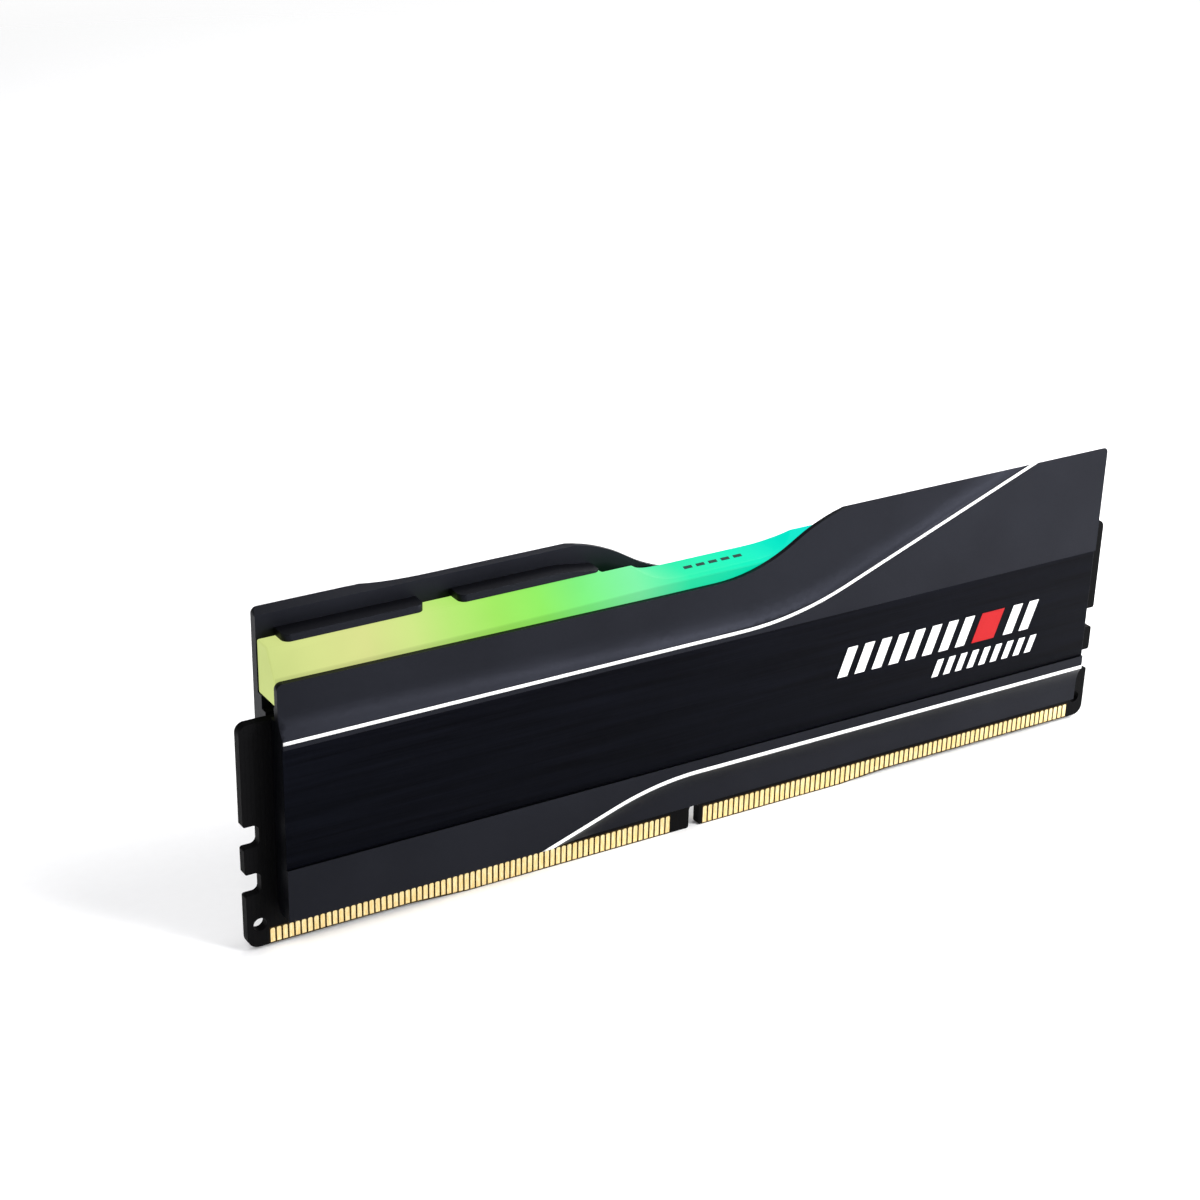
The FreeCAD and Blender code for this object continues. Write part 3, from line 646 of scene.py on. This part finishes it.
def silicone_pad():
    """Filled silicone thermal pad: dull blue-grey, soft, with the print of its liner."""
    material, tree, shader = new_material("silicone_pad_filled")
    liner = grain(tree, 0.4 * MM, detail=4.0, roughness=0.6)
    connect(tree, shader, {
        "Base Color": tinted(
            tree, vary(tree, liner.outputs[0], 0, 1), linear("808a96"), linear("9aa4ae")),
        "Roughness": vary(tree, liner.outputs[0], 0.68, 0.84),
        "IOR": 1.42,
        "Normal": bump(tree, liner.outputs[0], 0.03 * MM, 0.5),
    })
    return material


def backdrop_paper(stage):
    """Matt paper under the object: plain, with a barely visible tooth.

    It thins out to nothing well away from the object, so no far edge shows.
    """
    material, tree, shader = new_material("backdrop_paper")
    tooth = grain(tree, 1.5 * MM)
    place = add(tree, "ShaderNodeTexCoord").outputs["Object"]
    away = add(tree, "ShaderNodeVectorMath", {0: place}, operation="LENGTH").outputs["Value"]
    cover = add(tree, "ShaderNodeMapRange", {
        "Value": away, "From Min": FLOOR_SOLID, "From Max": FLOOR_REACH, "To Min": 1.0,
        "To Max": 0.0}, interpolation_type="SMOOTHSTEP").outputs[0]
    connect(tree, shader, {
        "Base Color": tinted(
            tree, vary(tree, tooth.outputs[0], 0, 1), shade(stage.floor_colour, 0.985),
            list(stage.floor_colour)),
        "Roughness": 0.9,
        "Specular IOR Level": 0.2,
        "Alpha": cover,
    })
    return material


# --- Painted lines ------------------------------------------------------------------
def bent_line(x, level, bend_at, slope, radius):
    """Height at x of a level line that turns to a slope at bend_at, with a round bend.

    A slope for x below the bend is given by a negative radius.
    """
    side = 1.0 if radius > 0 else -1.0
    angle = math.atan(slope)
    reach = abs(radius) * math.tan(angle / 2)
    run = (x - bend_at) * side
    if run <= -reach:
        return level
    if run >= reach * math.cos(angle):
        return level + side * slope * run
    drop = abs(radius) - math.sqrt(radius ** 2 - (run + reach) ** 2)
    return level + side * drop


def line_curve(name, start, stop, shape):
    """A curve along a bent line from x = start to stop, on the front face."""
    curve = bpy.data.curves.new(name, "CURVE")
    curve.dimensions = "3D"
    run = curve.splines.new("POLY")
    run.points.add(LINE_POINTS - 1)
    for number, point in enumerate(run.points):
        x = start + (stop - start) * number / (LINE_POINTS - 1)
        point.co = (x, FACE, bent_line(x, **shape), 1)
    return curve


def trimmed(mesh, point, normal):
    """Cuts off what lies beyond a plane and closes the cut."""
    shape = bmesh.new()
    shape.from_mesh(mesh)
    cut = bmesh.ops.bisect_plane(
        shape, geom=shape.verts[:] + shape.edges[:] + shape.faces[:], plane_co=point,
        plane_no=normal, clear_outer=True)
    open_edges = [item for item in cut["geom_cut"] if isinstance(item, bmesh.types.BMEdge)]
    bmesh.ops.holes_fill(shape, edges=open_edges)
    shape.to_mesh(mesh)
    shape.free()
    return mesh


# --- Operators --------------------------------------------------------------------

class StageOperator(bpy.types.Operator):
    """Lays the pale floor and sets the soft lights and the camera"""
    bl_idname = "module.stage"
    bl_label = "Stage"

    def execute(self, context):
        stage = context.scene.module_settings.stage
        shape = bmesh.new()
        bmesh.ops.create_grid(shape, x_segments=1, y_segments=1, size=FLOOR_REACH)
        mesh = bpy.data.meshes.new("floor")
        shape.to_mesh(mesh)
        shape.free()
        mesh.transform(Matrix.Translation((0, 0, CAD_BOX[0].z)))
        mesh.materials.append(backdrop_paper(stage))
        floor = bpy.data.objects.new("floor", mesh)
        context.scene.collection.objects.link(floor)
        self.soft_light("key_light", *KEY_LIGHT, stage.key_power)
        self.soft_light("front_light", *FRONT_LIGHT, stage.front_power)
        self.soft_light("low_light", *LOW_LIGHT, stage.low_power)
        self.soft_light("fill_light", *FILL_LIGHT, stage.fill_power)
        self.room(context, stage)
        context.scene.view_settings.view_transform = "Standard"
        self.camera(context)
        return {"FINISHED"}

    def room(self, context, stage):
        """An even, dim room whose walls look as white as the floor."""
        world = bpy.data.worlds.new("soft_room")
        world.use_nodes = True
        tree = world.node_tree
        tree.nodes.clear()
        dim = add(tree, "ShaderNodeBackground", {
            "Color": linear("fafaff", 1.0), "Strength": stage.room_light})
        pale = add(tree, "ShaderNodeBackground", {"Color": linear("ffffff", 1.0), "Strength": 1.0})
        seen = add(tree, "ShaderNodeLightPath").outputs["Is Camera Ray"]
        walls = add(tree, "ShaderNodeMixShader", {0: seen, 1: dim.outputs[0], 2: pale.outputs[0]})
        add(tree, "ShaderNodeOutputWorld", {"Surface": walls.outputs[0]})
        context.scene.world = world

    def soft_light(self, name, place, size, power):
        """A square area light at place that faces the module."""
        lamp = bpy.data.lights.new(name, "AREA")
        lamp.shape = "SQUARE"
        lamp.size = size
        lamp.energy = power
        light = bpy.data.objects.new(name, lamp)
        light.location = place
        light.rotation_mode = "QUATERNION"
        light.rotation_quaternion = (AIM - Vector(place)).to_track_quat("-Z", "Y")
        bpy.context.scene.collection.objects.link(light)

    def camera(self, context):
        """The camera, a little left of the front and above, with a long lens."""
        data = bpy.data.cameras.new("camera")
        data.sensor_width = 36.0
        data.lens = CAMERA_LENS
        data.shift_x, data.shift_y = CAMERA_SHIFT
        data.clip_start = 0.01
        data.clip_end = 20.0
        camera = bpy.data.objects.new("camera", data)
        azimuth = math.radians(CAMERA_AZIMUTH)
        elevation = math.radians(CAMERA_ELEVATION)
        roll = math.radians(CAMERA_ROLL)
        back = Vector((
            math.sin(azimuth) * math.cos(elevation), -math.cos(azimuth) * math.cos(elevation),
            math.sin(elevation)))
        camera.rotation_mode = "QUATERNION"
        level = (-back).to_track_quat("-Z", "Y")
        camera.rotation_quaternion = level @ Matrix.Rotation(roll, 4, "Z").to_quaternion()
        camera.location = CAMERA_PLACE
        context.scene.collection.objects.link(camera)
        context.scene.camera = camera


class SpreaderOperator(bpy.types.Operator):
    """Finishes the two pressed halves of the heat spreader"""
    bl_idname = "module.spreader"
    bl_label = "Heat spreader"

    def execute(self, context):
        metal = context.scene.module_settings.metal
        # The second material is the edges' painted highlight.
        materials = [anodised_aluminium(metal), painted_highlight_edge(metal)]
        for side in ("front", "rear"):
            node = "spreader_" + side
            mesh = rounded_copy(node, metal.edge_round, materials)
            place_piece(side + "_spreader_half", mesh, [node])
        return {"FINISHED"}


class InlayOperator(bpy.types.Operator):
    """Finishes the brushed strips set into both halves"""
    bl_idname = "module.inlays"
    bl_label = "Inlay strips"

    def execute(self, context):
        metal = context.scene.module_settings.metal
        materials = [brushed_aluminium(metal)]
        for side in ("front", "rear"):
            node = "inlay_" + side
            mesh = rounded_copy(node, metal.inlay_chamfer, materials)
            place_piece(side + "_inlay_strip", mesh, [node])
        return {"FINISHED"}


class LightBarOperator(bpy.types.Operator):
    """Finishes the frosted light bar"""
    bl_idname = "module.light_bar"
    bl_label = "Light bar"

    def execute(self, context):
        light = context.scene.module_settings.light
        mesh = rounded_copy("light_bar", light.lens_round, [frosted_acrylic(light)], segments=3)
        place_piece("light_bar_lens", mesh, ["light_bar"])
        return {"FINISHED"}


class LinesOperator(bpy.types.Operator):
    """Paints the white lines that edge the pressed hollows, front and rear"""
    bl_idname = "module.lines"
    bl_label = "Painted lines"

    def execute(self, context):
        ink = context.scene.module_settings.ink
        white = paint("enamel_white_printed", list(ink.ink_colour))
        tree = line_tree()
        over = 2 * MM
        rows = (
            ("upper_line", -HALF_LENGTH - over, HALF_LENGTH - over, UPPER_LINE, ink.upper_width),
            ("lower_line", LOWER_LINE_START, HALF_LENGTH + over, LOWER_LINE, ink.lower_width),
        )
        for name, start, stop, shape, width in rows:
            mesh = grown(name, line_curve(name, start, stop, shape), tree, {
                "Width": width, "Film": 2 * ink.film, "Material": white})
            trimmed(mesh, (-HALF_LENGTH, 0, 0), (-1, 0, 0))
            trimmed(mesh, (HALF_LENGTH, 0, 0), (1, 0, 0))
            trimmed(mesh, (0, 0, FRONT_HIGH.z), (0, 0, 1))
            trimmed(mesh, (0, 0, FRONT_LOW.z), (0, 0, -1))
            place_piece("rear_" + name, turned_copy(mesh))
            place_piece("front_" + name, mesh)
        return {"FINISHED"}


class MarksOperator(bpy.types.Operator):
    """Prints plain slanted bars on the inlays and short dashes on the light bar"""
    bl_idname = "module.marks"
    bl_label = "Printed marks"

    def execute(self, context):
        ink = context.scene.module_settings.ink
        white = paint("ink_white_printed", list(ink.ink_colour))
        red = paint("ink_red_printed", list(ink.accent_colour))
        dark = paint("ink_green_black_printed", linear("06332c"), 0.6)
        tree = bar_row_tree()
        rows = (
            (ink.first_row, LARGE_BAR, FIRST_START, FIRST_LEVEL, white),
            (1, ACCENT_BAR, ACCENT_START, FIRST_LEVEL, red),
            (2, LARGE_BAR, LAST_START, FIRST_LEVEL, white),
            (ink.second_row, SMALL_BAR, SECOND_START, SECOND_LEVEL, white),
        )
        made = [self.row(tree, *row, INLAY_LOW.y, ink.film) for row in rows]
        whole = joined(made, "inlay_marks")
        place_piece("rear_inlay_marks", turned_copy(whole))
        place_piece("front_inlay_marks", whole)
        self.dashes(tree, dark, ink.film)
        return {"FINISHED"}

    def row(self, tree, count, bar, start, level, material, face, film):
        """One row of bars, which starts at x = start and has its middle at height level."""
        pitch, width, height, slant = bar
        return grown("bars", bpy.data.meshes.new("bars"), tree, {
            "Count": count, "Pitch": pitch * MM, "Bar Width": width * MM,
            "Bar Height": height * MM, "Slant": slant * MM, "Film": film,
            "Place": (start * MM, face, level * MM), "Material": material})

    def dashes(self, tree, material, film):
        """Plain dashes on the level floor of the light bar's saddle."""
        dashes = self.row(tree, DASH_COUNT, DASH, DASH_START, 0, material, 0, film)
        dashes.transform(Matrix.Rotation(math.radians(-90), 4, "X"))
        dashes.transform(Matrix.Translation((0, DASH_PLACE, SADDLE_FLOOR)))
        place_piece("light_bar_dashes", dashes)


class BoardOperator(bpy.types.Operator):
    """Finishes the circuit board and its gold contacts"""
    bl_idname = "module.board"
    bl_label = "Circuit board"

    def execute(self, context):
        finish(["circuit_board"], solder_mask())
        finish([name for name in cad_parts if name.startswith("contacts_")], gold_plating())
        return {"FINISHED"}


class BoardPartsOperator(bpy.types.Operator):
    """Finishes the chips, small parts and thermal pads between the halves"""
    bl_idname = "module.board_parts"
    bl_label = "Board parts"

    def execute(self, context):
        epoxy = moulding_compound()
        finishes = (
            ("memory_chip", epoxy), ("power_manager", epoxy), ("presence_hub", epoxy),
            ("led_driver", epoxy),
            ("decoupling_capacitors",
             fired_ceramic("ceramic_capacitor_brown", "8a7458", "a89274", 0.4)),
            ("bulk_capacitors", fired_ceramic("ceramic_capacitor_grey", "7c7468", "98907f", 0.4)),
            ("damping_resistors", fired_ceramic("resistor_glaze_black", "101114", "222327", 0.25)),
            ("power_inductor", fired_ceramic("ferrite_pressed_grey", "484b4e", "63666a", 0.55)),
            ("light_diode", fired_ceramic("diode_package_white", "e4dfc8", "f6f2e0", 0.3)),
            ("thermal_pad", silicone_pad()),
        )
        for start, material in finishes:
            finish([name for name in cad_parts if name.startswith(start)], material)
        return {"FINISHED"}


def finish(names, material):
    """Gives CAD nodes a material in place of their plain one."""
    if not names:
        raise RuntimeError("no node takes the material " + material.name)
    for name in names:
        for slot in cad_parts[name].material_slots:
            slot.material = material


class ModulePanel(bpy.types.Panel):
    """Lists the module's finishing steps and their settings"""
    bl_idname = "VIEW3D_PT_module"
    bl_label = "Memory module"
    bl_space_type = "VIEW_3D"
    bl_region_type = "UI"
    bl_category = "Module"

    def draw(self, context):
        settings = context.scene.module_settings
        for operator in OPERATORS:
            self.layout.operator(operator.bl_idname)
        for group in (settings.metal, settings.ink, settings.light, settings.stage):
            box = self.layout.box()
            for name in group.__annotations__:
                box.prop(group, name)


OPERATORS = (
    StageOperator, SpreaderOperator, InlayOperator, LightBarOperator, LinesOperator,
    MarksOperator, BoardOperator, BoardPartsOperator,
)
CLASSES = (
    MetalSettings, PrintSettings, LightSettings, StageSettings, ModuleSettings,
) + OPERATORS + (ModulePanel,)


def register():
    for item in CLASSES:
        bpy.utils.register_class(item)
    bpy.types.Scene.module_settings = PointerProperty(type=ModuleSettings)


def unregister():
    del bpy.types.Scene.module_settings
    for item in reversed(CLASSES):
        bpy.utils.unregister_class(item)


def main():
    register()
    bpy.ops.module.stage()
    bpy.ops.module.spreader()
    bpy.ops.module.inlays()
    bpy.ops.module.light_bar()
    bpy.ops.module.lines()
    bpy.ops.module.marks()
    bpy.ops.module.board()
    bpy.ops.module.board_parts()


if __name__ == "__main__":
    main()
